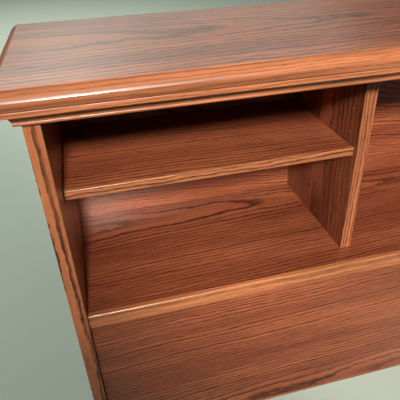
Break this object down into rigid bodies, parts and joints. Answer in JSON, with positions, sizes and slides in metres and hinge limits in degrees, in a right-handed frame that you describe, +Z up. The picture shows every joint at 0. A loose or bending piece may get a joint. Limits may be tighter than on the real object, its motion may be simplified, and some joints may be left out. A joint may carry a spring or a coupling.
{
  "type": "desk hutch",
  "caption": "Wide oak desk hutch with open bays, loose shelves on pins, a moulded cornice, a plain deep lower panel and side panels that stand on the desk.",
  "frame": {"origin": "middle of the footprint at the level of the desk: the bounding box's centre at its bottom", "axes": "+Z up, the open front towards -Y, +X along the width to the right as seen from the front"},
  "size_m": [1.5816, 0.3208, 1.117],
  "materials": {
    "veneered_oak": "satin varnish on stained oak veneer",
    "solid_oak": "satin varnish on stained solid oak",
    "plain_oak": "planed, thin coat",
    "nickel_pin": "nickel plated"
  },
  "bodies": {
    "case": {"top_panel": "veneered_oak", "top_edging_front": "solid_oak", "top_edging_left": "solid_oak", "top_edging_right": "solid_oak", "cornice_front": "solid_oak", "cornice_left": "solid_oak", "cornice_right": "solid_oak", "top_rail": "veneered_oak", "left_side": "veneered_oak", "left_side_edging": "solid_oak", "right_side": "veneered_oak", "right_side_edging": "solid_oak", "left_divider": "veneered_oak", "left_divider_edging": "solid_oak", "right_divider": "veneered_oak", "right_divider_edging": "solid_oak", "bay_floor": "veneered_oak", "floor_nosing": "solid_oak", "lower_panel": "veneered_oak", "lower_panel_edging": "solid_oak", "left_panel_cleat": "plain_oak", "right_panel_cleat": "plain_oak", "long_panel_cleat": "plain_oak", "back_panel": "veneered_oak", "rear_stretcher": "plain_oak", "left_shelf_pins": "nickel_pin", "right_shelf_pins": "nickel_pin"},
    "left_shelf": {"left_shelf": "veneered_oak", "left_shelf_edging": "solid_oak"},
    "right_shelf": {"right_shelf": "veneered_oak", "right_shelf_edging": "solid_oak"}
  },
  "joints": [
    {"name": "left_shelf_lift", "type": "slide", "parent": "case", "child": "left_shelf", "axis": [0, 0, 1], "range_m": [0, 0.143]},
    {"name": "right_shelf_lift", "type": "slide", "parent": "case", "child": "right_shelf", "axis": [0, 0, 1], "range_m": [0, 0.143]}
  ]
}
